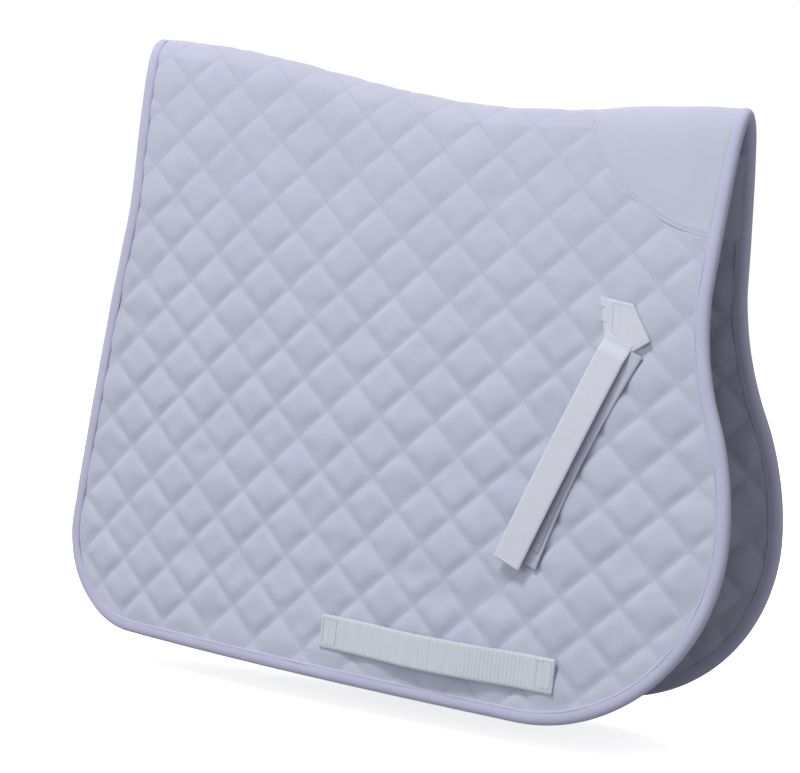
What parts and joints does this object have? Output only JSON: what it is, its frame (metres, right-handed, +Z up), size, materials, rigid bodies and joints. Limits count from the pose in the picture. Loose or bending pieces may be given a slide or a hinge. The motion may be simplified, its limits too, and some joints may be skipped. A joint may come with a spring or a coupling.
{
  "type": "saddle pad",
  "caption": "Diamond-quilted English saddle pad: two flaps sewn at the spine, with bound edges, smooth withers patches, hook-and-loop billet straps and girth loops",
  "frame": {"origin": "on the ridge of the spine seam, at its lowest point, where the middle of the saddle sits", "axes": "+X forward to the withers, +Y to the horse's left, +Z up"},
  "size_m": [0.667, 0.1798, 0.557],
  "materials": {
    "quilted_cotton": "quilted polycotton",
    "quilted_lining": "quilted polycotton lining",
    "plain_cotton": "plain woven polycotton",
    "wadding": "polyester wadding",
    "binding_tape": "folded binding tape",
    "webbing": "ribbed webbing",
    "hook_and_loop": "hook-and-loop tape"
  },
  "bodies": {
    "spine": {"spine_cover_strip": "quilted_cotton", "spine_seam": "quilted_cotton", "spine_tape": "binding_tape"},
    "right_flap": {"right_outer_cover": "quilted_cotton", "right_wadding": "wadding", "right_lining": "quilted_lining", "right_edge_binding": "binding_tape", "right_withers_patch": "plain_cotton", "right_withers_lining_patch": "plain_cotton", "right_billet_tab": "webbing", "right_girth_strap": "webbing"},
    "right_under_strap": {"right_billet_under_strap": "webbing", "right_loop_tape": "hook_and_loop"},
    "right_top_strap": {"right_billet_top_strap": "webbing", "right_hook_tape": "hook_and_loop"},
    "left_flap": {"left_outer_cover": "quilted_cotton", "left_wadding": "wadding", "left_lining": "quilted_lining", "left_edge_binding": "binding_tape", "left_withers_patch": "plain_cotton", "left_withers_lining_patch": "plain_cotton", "left_billet_tab": "webbing", "left_girth_strap": "webbing"},
    "left_under_strap": {"left_billet_under_strap": "webbing", "left_loop_tape": "hook_and_loop"},
    "left_top_strap": {"left_billet_top_strap": "webbing", "left_hook_tape": "hook_and_loop"}
  },
  "joints": [
    {"name": "right_flap_fold", "type": "hinge", "parent": "spine", "child": "right_flap", "pos_m": [-0.0965, -0.01687, 0.0109], "axis": [-0.9972, 0.0026, 0.0746], "range_deg": [0, 80]},
    {"name": "right_billet_lift", "type": "hinge", "parent": "right_flap", "child": "right_under_strap", "pos_m": [0.117, -0.05684, -0.1922], "axis": [-0.9316, 0.0494, 0.3602], "range_deg": [0, 85]},
    {"name": "right_billet_peel", "type": "hinge", "parent": "right_under_strap", "child": "right_top_strap", "pos_m": [0.117, -0.05684, -0.1922], "axis": [-0.9316, 0.0494, 0.3602], "range_deg": [0, 75]},
    {"name": "left_flap_fold", "type": "hinge", "parent": "spine", "child": "left_flap", "pos_m": [-0.0965, 0.01687, 0.0109], "axis": [0.9972, 0.0026, -0.0746], "range_deg": [0, 80]},
    {"name": "left_billet_lift", "type": "hinge", "parent": "left_flap", "child": "left_under_strap", "pos_m": [0.117, 0.05684, -0.1922], "axis": [0.9316, 0.0494, -0.3602], "range_deg": [0, 85]},
    {"name": "left_billet_peel", "type": "hinge", "parent": "left_under_strap", "child": "left_top_strap", "pos_m": [0.117, 0.05684, -0.1922], "axis": [0.9316, 0.0494, -0.3602], "range_deg": [0, 75]}
  ]
}
